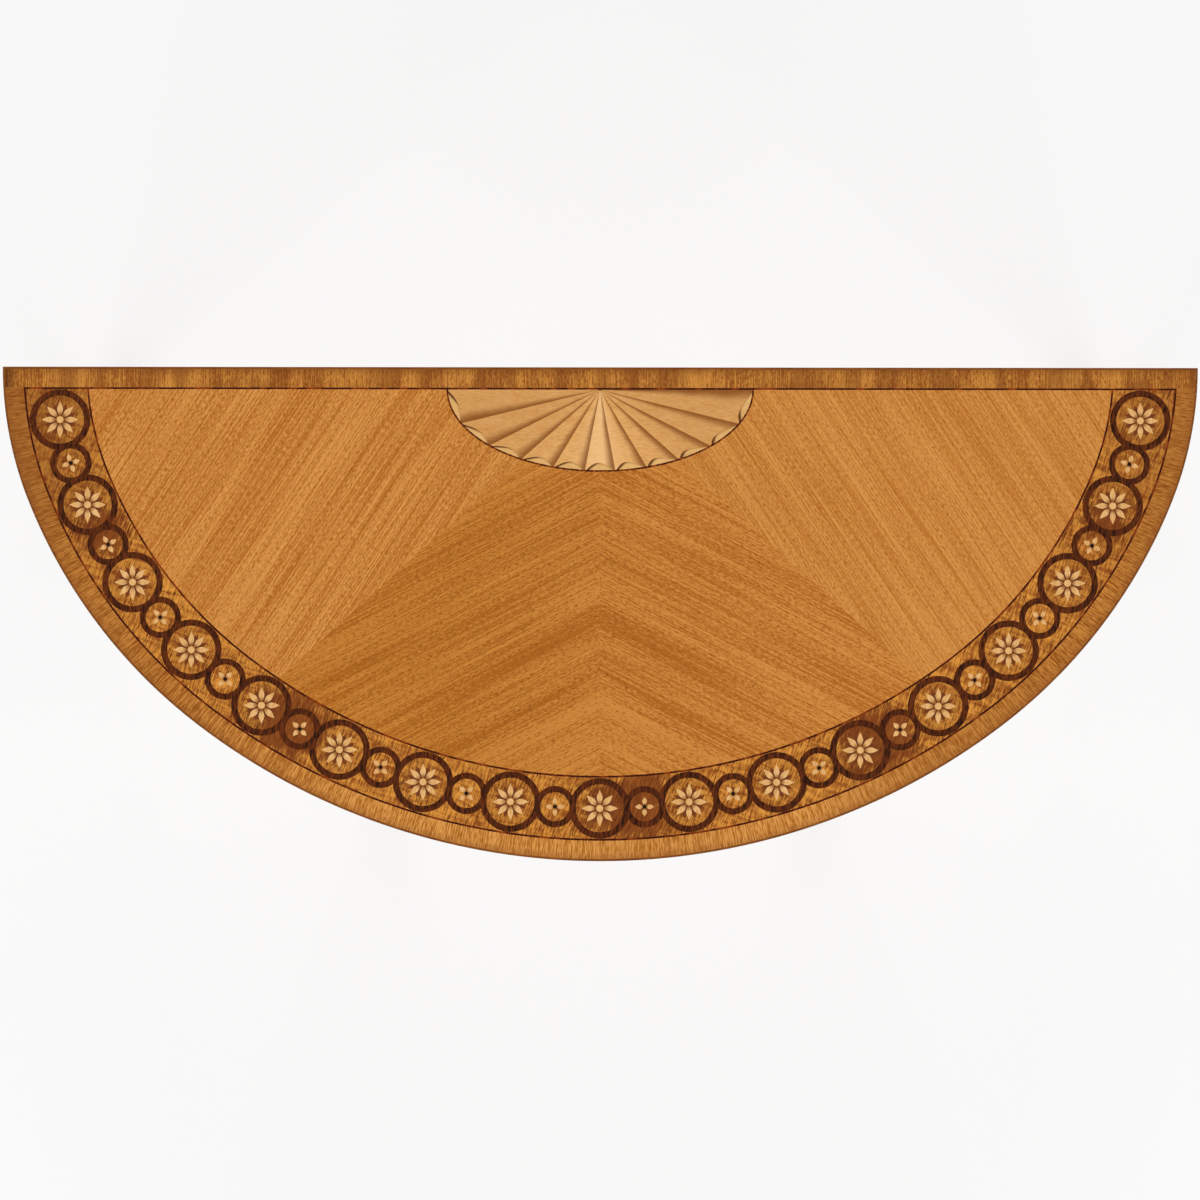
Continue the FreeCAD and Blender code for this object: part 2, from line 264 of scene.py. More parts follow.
def swept(name, profile, back_gap):
    """Profile of (inset, height) carried round the curve, to a line in front of the back."""
    points, runs, insets = [], [], []
    middle = sum(inset for inset, z in profile) / len(profile)
    for step in range(CURVE_STEPS + 1):
        for inset, z in profile:
            limit = 90.0 - math.degrees(math.asin(back_gap / (END_RADIUS - inset)))
            turn = limit * (2 * step / CURVE_STEPS - 1)
            points.append((*on_curve(inset, turn), z))
            runs.append(run_to(middle, turn))
            insets.append(inset)
    size = len(profile)
    last = size * CURVE_STEPS
    faces = [list(range(size)), [last + j for j in reversed(range(size))]]
    for first in range(0, last, size):
        for j in range(size):
            k = (j + 1) % size
            faces.append((first + j, first + size + j, first + size + k, first + k))
    return made(name, points, faces, run=runs, inset=insets)


profile = [(lipping, lip_low.z), (0.0, lip_low.z)]
for part in range(ARRIS_STEPS + 1):
    angle = math.radians(90.0 * part / ARRIS_STEPS)
    profile.append((ARRIS * (1 - math.cos(angle)), top_z - ARRIS * (1 - math.sin(angle))))
profile.append((lipping, top_z))
front_lipping = swept("front_lipping", profile, 0.0)
# Boxwood stained darker than the crossband: an even brown with short soft streaks.
lip_wood, tree, base = timber("stained_boxwood_lipping", 0.42)
lengthwise = lay(tree, (0, 0, 0))
wood = figure(tree, lengthwise, "#6E3A14", "#8E5522", LIP_GRAIN)
tree.links.new(pored(tree, wood, "#47220C", lengthwise, LIP_PORES, 0.5), base)
front_lipping.data.materials.append(lip_wood)
nodes["back_edge_lipping"].data.materials[0] = lip_wood
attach(front_lipping, "root")
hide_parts("front_edge_lipping")


# Crossbands: short lengths of satinwood veneer laid side by side round the top.
# The grain runs square to the edge; in front every length has a tone of its own.
LENGTHS = 14
TICKS = ((0.1, 0.012, 0.9), (0.04, 0.0014, 2.9), (0.008, 0.0012, 3.2))
TICK_PORES = (0.008, 0.0011)
BACK_GRAIN = ((0.5, 0.03, 1.6), (0.2, 0.007, 1.0), (0.04, 0.0014, 2.6), (0.004, 0.0012, 2.4))
BACK_PORES = (0.01, 0.0012)
BACK_PATCH = (0.06, 0.028)
# How far along the curve from its middle the wood turns brown and then stained, how far
# out the left back corner begins, and how far in from the edge the wear goes.
FADE_FROM = 0.2
FADE_TO = 0.5
STAIN_FROM = 0.6
STAIN_TO = 0.75
CORNER = 0.59
WORN_IN = 0.011
string_low, string_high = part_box("back_string")
string_in = back_y - string_high.y
veneer_z = string_low.z
profile = [(string_in, veneer_z), (lipping, veneer_z), (lipping, top_z), (string_in, top_z)]
crossband = swept("front_crossband_veneer", profile, string_in)
# Honey satinwood with close ticks of grain across the band, darker towards the ends.
ticked, tree, base = timber("satinwood_crossband", 0.42)
run = add(tree, "ShaderNodeAttribute", {}, attribute_name="run").outputs["Fac"]
inset = add(tree, "ShaderNodeAttribute", {}, attribute_name="inset").outputs["Fac"]
inwards = add(tree, "ShaderNodeCombineXYZ", {"X": inset, "Y": run}).outputs[0]
light = figure(tree, inwards, "#A7631C", "#DE9B4F", TICKS)
brown = figure(tree, inwards, "#8E4E12", "#C8843A", TICKS)
away = add(tree, "ShaderNodeMath", {0: run}, operation="ABSOLUTE").outputs[0]
links = {"Value": away, 1: FADE_FROM, 2: FADE_TO}
fade = add(tree, "ShaderNodeMapRange", links, interpolation_type="SMOOTHSTEP").outputs[0]
wood = add(tree, "ShaderNodeMix", {0: fade, 6: light, 7: brown}, data_type="RGBA").outputs[2]
wood = pored(tree, wood, "#773C0D", inwards, TICK_PORES, 0.7)
length = 2 * run_to(lipping, 90.0) / LENGTHS
count = add(tree, "ShaderNodeMath", {0: run, 1: length}, operation="DIVIDE").outputs[0]
whole = add(tree, "ShaderNodeMath", {0: count}, operation="FLOOR").outputs[0]
chance = add(tree, "ShaderNodeTexWhiteNoise", {"W": whole}, noise_dimensions="1D").outputs[0]
wood = stained(tree, wood, "#A5672A", chance, 0.0, 1.0, 0.0, 0.25)
wood = stained(tree, wood, "#733B13", run, -STAIN_TO, -STAIN_FROM, 0.36, 0.0)
wood = stained(tree, wood, "#733B13", run, STAIN_FROM, STAIN_TO, 0.0, 0.14)
tree.links.new(stained(tree, wood, "#8A4E20", inset, lipping, WORN_IN, 0.4, 0.0), base)
crossband.data.materials.append(ticked)
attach(crossband, "root")
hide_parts("front_crossband")
# The same satinwood along the back: browner, in soft patches, darkest at the outer edge.
striped, tree, base = timber("satinwood_back_crossband", 0.42)
inwards = lay(tree, (0, 0, -90))
wood = figure(tree, inwards, "#8F4F18", "#CA873A", BACK_GRAIN)
wood = pored(tree, wood, "#6A360F", inwards, BACK_PORES, 0.7)
patches = streaks(tree, inwards, *BACK_PATCH)
wood = stained(tree, wood, "#743A10", patches, 0.44, 0.64, 0.0, 0.5)
place = add(tree, "ShaderNodeTexCoord", {}).outputs["Object"]
ways = add(tree, "ShaderNodeSeparateXYZ", {0: place}).outputs
wood = stained(tree, wood, "#4A220A", ways["X"], -half_width, -CORNER, 0.8, 0.0)
worn_to = back_y - WORN_IN
tree.links.new(stained(tree, wood, "#6C340E", ways["Y"], worn_to, back_y, 0.0, 0.5), base)
nodes["back_crossband"].data.materials[0] = striped


# Strings: dark lines about two millimetres wide, let in between the bands.
# Sawn from dyed wood and bent in, rubbed through to brown in places.
WEAR = (0.011, 0.011)
WEAR_FROM = 0.44
WEAR_TO = 0.7
# Near black, worn to a dull brown in patches about a centimetre long.
ebonised, tree, base = timber("ebonised_string", 0.4)
worn = streaks(tree, lay(tree, (0, 0, 0)), *WEAR)
sunk(tree, worn, WEAR_FROM, WEAR_TO)
tree.links.new(stained(tree, colour("#390700"), "#86360A", worn, WEAR_FROM, WEAR_TO), base)
for name in ("back_string", "outer_string", "inner_string"):
    nodes[name].data.materials[0] = ebonised


# Border ground: one run of figured veneer, cut out to take the chain of roundels.
# Its dark heartwood breaks through in a few places and crosses ground and discs alike.
CHAIN_STEPS = 16
FLECK = (0.009, 0.0013)
SWIRL = (0.03, 0.006, 1.0)
VEIN = (0.014, 0.0018, 1.5)
VEIN_EDGE = 0.56
VEIN_FLOOR = 0.68
DARK_FROM = 0.44
# Patches of heartwood: roundels counted along the chain from its middle, and radius.
HEARTWOOD = (
    (-17.2, 0.030), (-13.3, 0.034), (-7.2, 0.046), (0.7, 0.046), (6.5, 0.045), (13.6, 0.032))
HEART_DEPTH = 0.95
HEART_FADE = 1.4
RAGGED = 0.03
DRIFT = 0.05
DRIFTS_PER_METRE = 45.0
border_in = back_y - string_low.y
large_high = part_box("large_roundels")[1]
outer_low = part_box("border_ground")[0].y
inner_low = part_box("inner_string")[0].y
chain_in = border_in + (inner_low - outer_low) / 2
end_gap = back_y - large_high.y
large_radius = (inner_low - outer_low) / 2 - (string_low.y - large_high.y)
chain_turn = 90.0 - math.degrees(math.asin((end_gap + large_radius) / (END_RADIUS - chain_in)))
pitch = run_to(chain_in, chain_turn) / CHAIN_STEPS


def turn_at(run):
    """Turn at a length along the middle line of the border."""
    swing = abs(run)
    front = run_to(chain_in, FRONT_SWEEP)
    haunch = run_to(chain_in, end_turn)
    turn = min(swing, front) / (front_radius - chain_in)
    turn += min(max(swing - front, 0.0), haunch - front) / (HAUNCH_RADIUS - chain_in)
    turn += max(swing - haunch, 0.0) / (END_RADIUS - chain_in)
    return math.copysign(math.degrees(turn), run)


# Figured veneer in golden brown: swirling streaks, short dark veins, red-brown heartwood.
# The shade value darkens it round the flowers, as hot sand does.
figured, tree, base = timber("figured_border_veneer", 0.42)
slanting = lay(tree, (0, 0, -70))
flecks = streaks(tree, slanting, *FLECK)
swirls = streaks(tree, lay(tree, (0, 0, 20)), *SWIRL)
wood = blended(tree, "#8D4916", "#DC943C", ((flecks, 2.3), (swirls, 1.8)))
veins = streaks(tree, slanting, *VEIN)
sunk(tree, veins, VEIN_EDGE, VEIN_FLOOR)
wood = stained(tree, wood, "#5A280B", veins, VEIN_EDGE, VEIN_FLOOR, 0.0, 0.8)
place = add(tree, "ShaderNodeTexCoord", {}).outputs["Object"]
ways = add(tree, "ShaderNodeSeparateXYZ", {0: place}).outputs
wood = stained(tree, wood, "#6E3411", ways["X"], -half_width, -DARK_FROM, 0.5, 0.0)
wood = stained(tree, wood, "#6E3411", ways["X"], DARK_FROM, half_width, 0.0, 0.35)
links = {"Vector": place, "Scale": DRIFTS_PER_METRE, "Detail": 3.0}
drift = add(tree, "ShaderNodeTexNoise", links).outputs["Color"]
links = {0: drift, 1: (0.5, 0.5, 0.5)}
drift = add(tree, "ShaderNodeVectorMath", links, operation="SUBTRACT").outputs[0]
links = {0: drift, 1: (DRIFT, DRIFT, DRIFT), 2: place}
moved = add(tree, "ShaderNodeVectorMath", links, operation="MULTIPLY_ADD").outputs[0]
heart = 0.0
for step, radius in HEARTWOOD:
    links = {0: moved, 1: (*on_curve(chain_in, turn_at(step * pitch)), top_z)}
    far = add(tree, "ShaderNodeVectorMath", links, operation="DISTANCE").outputs["Value"]
    links = {0: flecks, 1: RAGGED, 2: far}
    ragged = add(tree, "ShaderNodeMath", links, operation="MULTIPLY_ADD").outputs[0]
    links = {"Value": ragged, 1: radius, 2: radius * HEART_FADE, 3: HEART_DEPTH, 4: 0.0}
    patch = add(tree, "ShaderNodeMapRange", links).outputs[0]
    heart = add(tree, "ShaderNodeMath", {0: heart, 1: patch}, operation="MAXIMUM").outputs[0]
red = blended(tree, "#431605", "#A0551E", ((flecks, 1.0),))
wood = add(tree, "ShaderNodeMix", {0: heart, 6: wood, 7: red}, data_type="RGBA").outputs[2]
shade = add(tree, "ShaderNodeAttribute", {}, attribute_name="shade").outputs["Fac"]
links = {0: shade, 6: wood, 7: colour("#421C09")}
tree.links.new(add(tree, "ShaderNodeMix", links, data_type="RGBA").outputs[2], base)
nodes["border_ground"].data.materials[0] = figured


# Large roundels: a dark ring, a disc of the figured veneer and an eight-petalled flower.
# Ring and disc are let into the border whole, petals and button into the disc.
LAYER = 0.0001
RING_WIDTH = 0.0064
RING_SEGMENTS = 72
PETALS = 8
BUTTON = 0.0037
BUTTON_FLAT = 0.88
BUTTON_SEGMENTS = 28
SHADE_REACH = 0.0105
DISC_SHADE = 0.13
# Petal and sepal: distance from the flower's middle, and half width there.
PETAL = (
    (0.0030, 0.0008), (0.0056, 0.0017), (0.0086, 0.0027), (0.0112, 0.0030), (0.0138, 0.0022),
    (0.0165, 0.0010), (0.0188, 0.0))
SEPAL = ((0.0034, 0.0011), (0.0070, 0.0014), (0.0100, 0.0020), (0.0128, 0.0024), (0.0174, 0.0))
GREATEST_LEAN = 45.0
ROSEWOOD = ((0.01, 0.003, 1.4), (0.008, 0.0013, 2.6))
ROSEWOOD_PORES = (0.004, 0.0011)
BOXWOOD = ((0.01, 0.003, 1.4), (0.004, 0.0014, 1.0))
BOXWOOD_PORES = (0.004, 0.0012)
veneer = top_z - veneer_z


def slab(name, tops, faces, depth, **values):
    """Closed plate: a flat top, the same below it, and walls round its edges."""
    size = len(tops)
    edges = {(face[i - 1], face[i]) for face in faces for i in range(len(face))}
    walls = [(a, a + size, b + size, b) for a, b in sorted(edges) if (b, a) not in edges]
    floors = [[i + size for i in reversed(face)] for face in faces]
    points = tops + [(x, y, z - depth) for x, y, z in tops]
    doubled = {key: numbers + numbers for key, numbers in values.items()}
    return made(name, points, faces + floors + walls, **doubled)


def plate(name, circles, z, segments):
    """Round plate through circles of (radius, shade), filled where the first has no radius."""
    tops, shades, faces, rows = [], [], [], []
    for radius, shade in circles:
        row = []
        for i in range(segments if radius else 1):
            angle = 2 * math.pi * i / segments
            row.append(len(tops))
            tops.append((radius * math.cos(angle), radius * math.sin(angle), z))
            shades.append(shade)
        rows.append(row)
    for inner, outer in zip(rows, rows[1:]):
        for i in range(segments):
            j = (i + 1) % segments
            if len(inner) == 1:
                faces.append((inner[0], outer[i], outer[j]))
            else:
                faces.append((inner[i], outer[i], outer[j], inner[j]))
    return slab(name, tops, faces, z - veneer_z, shade=shades)


def leaf(name, stations, z, bare):
    """Pointed leaf up the Y axis through stations of (reach, half width), scorched less if bare."""
    tops, ways = [], []
    start, stop = stations[0][0], stations[-1][0]
    for reach, half in stations[:-1]:
        tops += [(-half, reach, z), (half, reach, z)]
        ways += [bare + (1 - bare) * (reach - start) / (stop - start)] * 2
    faces = [(i, i + 1, i + 3, i + 2) for i in range(0, len(tops) - 2, 2)]
    faces.append((len(tops) - 2, len(tops) - 1, len(tops)))
    return slab(name, tops + [(0.0, stop, z)], faces, veneer / 2, way=ways + [1.0])


laying = bpy.data.node_groups.new("lay_at_places", "GeometryNodeTree")
laying.interface.new_socket("Places", in_out="INPUT", socket_type="NodeSocketGeometry")
shape_input = laying.interface.new_socket("Shape", in_out="INPUT", socket_type="NodeSocketObject")
wood_input = laying.interface.new_socket("Wood", in_out="INPUT", socket_type="NodeSocketMaterial")
laying.interface.new_socket("Inlay", in_out="OUTPUT", socket_type="NodeSocketGeometry")
given = add(laying, "NodeGroupInput", {}).outputs
one = add(laying, "GeometryNodeObjectInfo", {"Object": given["Shape"]}).outputs["Geometry"]
lean = add(laying, "GeometryNodeInputNamedAttribute", {"Name": "lean"}).outputs["Attribute"]
angles = add(laying, "ShaderNodeCombineXYZ", {"Z": lean}).outputs[0]
spin = add(laying, "FunctionNodeEulerToRotation", {"Euler": angles}).outputs[0]
links = {"Points": given["Places"], "Instance": one, "Rotation": spin}
laid = add(laying, "GeometryNodeInstanceOnPoints", links).outputs[0]
real = add(laying, "GeometryNodeRealizeInstances", {"Geometry": laid}).outputs[0]
links = {"Geometry": real, "Material": given["Wood"]}
wooden = add(laying, "GeometryNodeSetMaterial", links).outputs[0]
add(laying, "NodeGroupOutput", {"Inlay": wooden})


def repeat(name, shape, places, leans, material):
    """The shape at every place, leaning by an angle about the vertical, as one plain mesh."""
    piece = made(name, places, [], lean=[math.radians(angle) for angle in leans])
    modifier = piece.modifiers.new(name, "NODES")
    modifier.node_group = laying
    modifier[shape_input.identifier] = shape
    modifier[wood_input.identifier] = material
    evaluated = piece.evaluated_get(bpy.context.evaluated_depsgraph_get())
    piece.data = bpy.data.meshes.new_from_object(evaluated)
    piece.modifiers.clear()
    bpy.data.objects.remove(shape)
    return piece


# Dark rosewood: brown black with fine paler ticks standing upright.
rosewood, tree, base = timber("rosewood_ring", 0.42)
upright = lay(tree, (0, 0, -84))
wood = figure(tree, upright, "#230A00", "#662E0D", ROSEWOOD)
tree.links.new(pored(tree, wood, "#1E0901", upright, ROSEWOOD_PORES, 0.5), base)
# Pale boxwood, its petals scorched brown at the base in hot sand.
boxwood, tree, base = timber("boxwood_petal", 0.42)
upright = lay(tree, (0, 0, -90))
wood = figure(tree, upright, "#D09A58", "#EDBD80", BOXWOOD)
wood = pored(tree, wood, "#B67C42", upright, BOXWOOD_PORES, 0.3)
way = add(tree, "ShaderNodeAttribute", {}, attribute_name="way").outputs["Fac"]
tree.links.new(stained(tree, wood, "#83430C", way, 0.05, 0.45, 0.95, 0.0), base)
# Sepals scorched almost through: dark brown, less so at the point.
scorched, tree, base = timber("scorched_sepal", 0.45)
way = add(tree, "ShaderNodeAttribute", {}, attribute_name="way").outputs["Fac"]
wood = stained(tree, colour("#4C220C"), "#7A3E1A", way, 0.0, 1.0)
upright = lay(tree, (0, 0, -90))
tree.links.new(pored(tree, wood, "#241006", upright, BOXWOOD_PORES, 0.4), base)
# Button of the same boxwood, its edge darkened by the glue line.
button_wood, tree, base = timber("boxwood_button", 0.4)
upright = lay(tree, (0, 0, -90))
wood = figure(tree, upright, "#D5A261", "#EABD7E", BOXWOOD)
wood = pored(tree, wood, "#B67C42", upright, BOXWOOD_PORES, 0.2)
shade = add(tree, "ShaderNodeAttribute", {}, attribute_name="shade").outputs["Fac"]
tree.links.new(stained(tree, wood, "#9A6630", shade, 0.0, 1.0), base)

large_places, small_places, small_leans = [], [], []
for step in range(-CHAIN_STEPS, CHAIN_STEPS + 1):
    turn = turn_at(step * pitch)
    spot = (*on_curve(chain_in, turn), 0.0)
    if step % 2 == 0:
        large_places.append(spot)
    else:
        small_places.append(spot)
        lean = 0.0 if abs(step) == 1 else min(90.0 - abs(turn), GREATEST_LEAN)
        small_leans.append(math.copysign(lean, -turn))
straight = [0.0] * len(large_places)
round_the_middle = [(0.0, 0.0, 0.0)] * PETALS
eighths = [360.0 * i / PETALS for i in range(PETALS)]
between = [angle + 180.0 / PETALS for angle in eighths]
ring_inner = large_radius - RING_WIDTH
ring = plate("ring", ((ring_inner, 0.0), (large_radius, 0.0)), top_z, RING_SEGMENTS)
circles = ((0.0, 1.0), (BUTTON, 1.0), (SHADE_REACH, DISC_SHADE), (ring_inner, DISC_SHADE))
ground = plate("ground", circles, top_z - LAYER, RING_SEGMENTS)
petal = leaf("petal", PETAL, top_z - LAYER / 4, 0.0)
petals = repeat("petals", petal, round_the_middle, eighths, boxwood)
sepal = leaf("sepal", SEPAL, top_z - LAYER / 2, 0.0)
sepals = repeat("sepals", sepal, round_the_middle, between, scorched)
circles = ((0.0, 0.0), (BUTTON * BUTTON_FLAT, 0.0), (BUTTON, 1.0))
button = plate("button", circles, top_z, BUTTON_SEGMENTS)
large_rings = repeat("large_rings", ring, large_places, straight, rosewood)
large_grounds = repeat("large_grounds", ground, large_places, straight, figured)
large_petals = repeat("large_petals", petals, large_places, straight, boxwood)
large_sepals = repeat("large_sepals", sepals, large_places, straight, scorched)
large_buttons = repeat("large_buttons", button, large_places, straight, button_wood)
for piece in (large_rings, large_grounds, large_petals, large_sepals, large_buttons):
    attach(piece, "root")
    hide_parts("large_roundels")


# Small roundels: a ring that runs under its two neighbours, a disc and four petals.
# Laid in before the large ones, the flower leaning with the chain.
SMALL_PETALS = 4
SMALL_PETAL = (
    (0.0015, 0.0006), (0.0032, 0.0018), (0.0054, 0.0025), (0.0074, 0.0018), (0.0098, 0.0))
SMALL_BARE = 0.1
SMALL_SEGMENTS = 56
DOT = 0.0020
DOT_SHADE = 1.8
DOT_SEGMENTS = 20
small_radius = pitch - ring_inner
small_inner = small_radius - RING_WIDTH
straight = [0.0] * len(small_places)
circles = ((small_inner, 0.0), (small_radius, 0.0))
ring = plate("ring", circles, top_z - LAYER, SMALL_SEGMENTS)
circles = ((0.0, 1.0), (DOT * DOT_SHADE, 0.0), (small_inner, 0.0))
ground = plate("ground", circles, top_z - LAYER, SMALL_SEGMENTS)
round_the_middle = [(0.0, 0.0, 0.0)] * SMALL_PETALS
quarters = [360.0 * i / SMALL_PETALS for i in range(SMALL_PETALS)]
petal = leaf("petal", SMALL_PETAL, top_z - LAYER / 4, SMALL_BARE)
petals = repeat("petals", petal, round_the_middle, quarters, boxwood)
dot = plate("dot", ((0.0, 0.0), (DOT, 0.0)), top_z, DOT_SEGMENTS)
small_rings = repeat("small_rings", ring, small_places, straight, rosewood)
small_grounds = repeat("small_grounds", ground, small_places, straight, figured)
small_petals = repeat("small_petals", petals, small_places, small_leans, boxwood)
# Ebony dot, all but black between the petals, with the faintest grain.
ebony, tree, base = timber("ebony_dot", 0.4)
upright = lay(tree, (0, 0, -90))
wood = figure(tree, upright, "#140702", "#261008", BOXWOOD)
tree.links.new(pored(tree, wood, "#0C0401", upright, BOXWOOD_PORES, 0.5), base)
small_dots = repeat("small_dots", dot, small_places, straight, ebony)
for piece in (small_rings, small_grounds, small_petals, small_dots):
    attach(piece, "root")
    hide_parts("small_roundels")


# Field: four leaves of satinwood, book-matched about joints that run out of the fan.
# Sawn one after another from a flitch, opened like a book, jointed and laid together.
LEAF_ANGLE = 42.0
GRAIN_ANGLE = 14.5
SATINWOOD = ((0.3, 0.007, 0.9), (0.14, 0.0014, 2.6), (0.0042, 0.0011, 3.0))
SATINWOOD_PORES = (0.006, 0.0011)
RIBBON = (0.6, 0.028)
BROWNED = 0.16
apex = (0.0, string_low.y, top_z)
# Each leaf: its half of the table, the face turned up, its depth in the flitch, the weight of
# its ribbon figure, its share of the brown stain, and the tones of dark, light and pores.
leaves = (
    ("outer_left", 1, 1, 0.0, 1.0, 0.0, ("#AD661E", "#D8944B", "#76390A")),
    ("inner_left", 1, -1, 0.0208, 1.2, 1.0, ("#AB631D", "#D18B42", "#6E3407")),
    ("inner_right", -1, -1, 0.02, 1.2, 1.0, ("#AB631D", "#D18B42", "#6E3407")),
    ("outer_right", -1, 1, 0.33, 0.9, 0.0, ("#B36D25", "#D49149", "#7A3D0D")),
)
for name, side, face, depth, ribbon, stain, (dark, light, pore) in leaves:
    # Golden satinwood, lighter in the outer pair: fine slanting fibres with soft streaks.
    satinwood, tree, base = timber("satinwood_leaf_" + name, 0.42)
    about = lay(tree, (0, 0, 0), (side, 1, 1), apex)
    sheet = add(tree, "ShaderNodeVectorMath", {0: about, 1: (0, 0, depth)}).outputs[0]
    links = {"Vector": sheet, "Rotation": (0, 0, math.radians(-LEAF_ANGLE))}
    joint = add(tree, "ShaderNodeMapping", links).outputs[0]
    turn = (0, 0, math.radians(-GRAIN_ANGLE))
    links = {"Vector": joint, "Scale": (1, face, 1), "Rotation": turn}
    grain = add(tree, "ShaderNodeMapping", links).outputs[0]
    wood = figure(tree, grain, dark, light, ((*RIBBON, ribbon), *SATINWOOD))
    wood = pored(tree, wood, pore, grain, SATINWOOD_PORES, 0.7)
    place = add(tree, "ShaderNodeTexCoord", {}).outputs["Object"]
    ways = add(tree, "ShaderNodeSeparateXYZ", {0: place}).outputs
    links = {"Value": ways["X"], 1: -BROWNED, 2: BROWNED, 3: stain, 4: 0.0}
    amount = add(tree, "ShaderNodeMapRange", links).outputs[0]
    links = {0: amount, 6: wood, 7: colour("#F2EDD2")}
    wood = add(tree, "ShaderNodeMix", links, data_type="RGBA", blend_type="MULTIPLY").outputs[2]
    tree.links.new(wood, base)
    nodes["field_leaf_" + name].data.materials[0] = satinwood


# Fan: eleven flutes of boxwood shaded in hot sand, so that each seems hollowed.
# Every flute ends in a curled tip; a dark string is bent round the whole.
FLUTES = 11
FLUTE_GROWTH = 0.045
FLUTE_GRAIN = ((0.02, 0.008, 0.7), (0.006, 0.0014, 1.4))
ACROSS_STEPS = 10
OUT_STEPS = (0.012, 0.2, 0.4, 0.6, 0.8, 1.0)
EDGE_WAVE = (0.03, 0.03)
EDGE_WAVER = 0.16
TIP = 0.0092
TIP_SKEW = 0.85
TIP_STEPS = 12
TIP_ROWS = (0.0, 0.35, 1.0)
CURL = 1.7
FAN_STRING = 0.0019
DASH = (0.003, 0.003)
DASH_FROM = 0.46
DASH_TO = 0.64
RIM_STEPS = 20000
fan_low, fan_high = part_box("fan_flutes")
fan_half = fan_high.x
fan_depth = fan_high.y - fan_low.y
widths = [1 + FLUTE_GROWTH * abs(flute - (FLUTES - 1) / 2) for flute in range(FLUTES)]
starts = [sum(widths[:flute]) / sum(widths) for flute in range(FLUTES + 1)]
rim = [0.0]
for step in range(RIM_STEPS):
    angle = math.pi * (step + 0.5) / RIM_STEPS
    rim.append(rim[-1] + math.hypot(fan_half * math.sin(angle), fan_depth * math.cos(angle)))


def on_rim(flute, across, inset=0.0):
    """Point of the fan's rim a part of the way across a flute, counted from the left."""
    run = rim[-1] * (starts[flute] + across * (starts[flute + 1] - starts[flute]))
    angle = math.pi * (1 + bisect.bisect_left(rim, run) / RIM_STEPS)
    return (fan_half - inset) * math.cos(angle), apex[1] + (fan_depth - inset) * math.sin(angle)


tops, faces, acrosses = [], [], []
row = ACROSS_STEPS + 1
for flute in range(FLUTES):
    for out in OUT_STEPS:
        for i in range(row):
            x, y = on_rim(flute, i / ACROSS_STEPS)
            tops.append((out * x, apex[1] + out * (y - apex[1]), top_z - LAYER))
            acrosses.append(i / ACROSS_STEPS)
    for j in range(len(OUT_STEPS) - 1):
        for i in range(ACROSS_STEPS):
            first = (flute * len(OUT_STEPS) + j) * row + i
            faces.append((first, first + row, first + row + 1, first + 1))
flutes = slab("fan_flutes_shaded", tops, faces, veneer - LAYER, across=acrosses)
# Boxwood, pale where each flute begins and scorched brown where it goes under the next.
fluted, tree, base = timber("sand_shaded_boxwood", 0.42)
across = add(tree, "ShaderNodeAttribute", {}, attribute_name="across").outputs["Fac"]
level = lay(tree, (0, 0, 0))
wood = figure(tree, level, "#CE9350", "#EBB370", FLUTE_GRAIN)
wood = pored(tree, wood, "#AE7236", level, BOXWOOD_PORES, 0.4)
links = {0: streaks(tree, level, *EDGE_WAVE), 1: EDGE_WAVER, 2: across}
edge = add(tree, "ShaderNodeMath", links, operation="MULTIPLY_ADD").outputs[0]
links = {0: lay(tree, (0, 0, 0), (1, 1, 1), apex)}
heading = add(tree, "ShaderNodeVectorMath", links, operation="NORMALIZE").outputs[0]
sideways = add(tree, "ShaderNodeSeparateXYZ", {0: heading}).outputs["X"]
sideways = add(tree, "ShaderNodeMath", {0: sideways}, operation="ABSOLUTE").outputs[0]
wood = stained(tree, wood, "#FBCD92", sideways, 0.0, 0.5, 0.5, 0.0)
wood = stained(tree, wood, "#A56A2C", sideways, 0.45, 1.0, 0.0, 0.26)
tree.links.new(stained(tree, wood, "#7A3C02", edge, 0.66, 1.06, 0.0, 0.82), base)
flutes.data.materials.append(fluted)

tops, faces, acrosses, outs = [], [], [], []
row = len(TIP_ROWS)
for flute in range(FLUTES):
    for i in range(TIP_STEPS + 1):
        part = i / TIP_STEPS
        x, y = on_rim(flute, part)
        reach = math.hypot(x, y - apex[1])
        height = TIP * math.sin(math.pi * part ** TIP_SKEW) + LAYER
        for out in TIP_ROWS:
            keep = 1 - height * (1 - out) / reach
            tops.append((keep * x, apex[1] + keep * (y - apex[1]), top_z - LAYER / 2))
            acrosses.append(part)
            outs.append(out)
    for i in range(TIP_STEPS):
        for j in range(row - 1):
            first = (flute * (TIP_STEPS + 1) + i) * row + j
            faces.append((first, first + 1, first + row + 1, first + row))
tips = slab("fan_tips", tops, faces, veneer / 2, across=acrosses, out=outs)
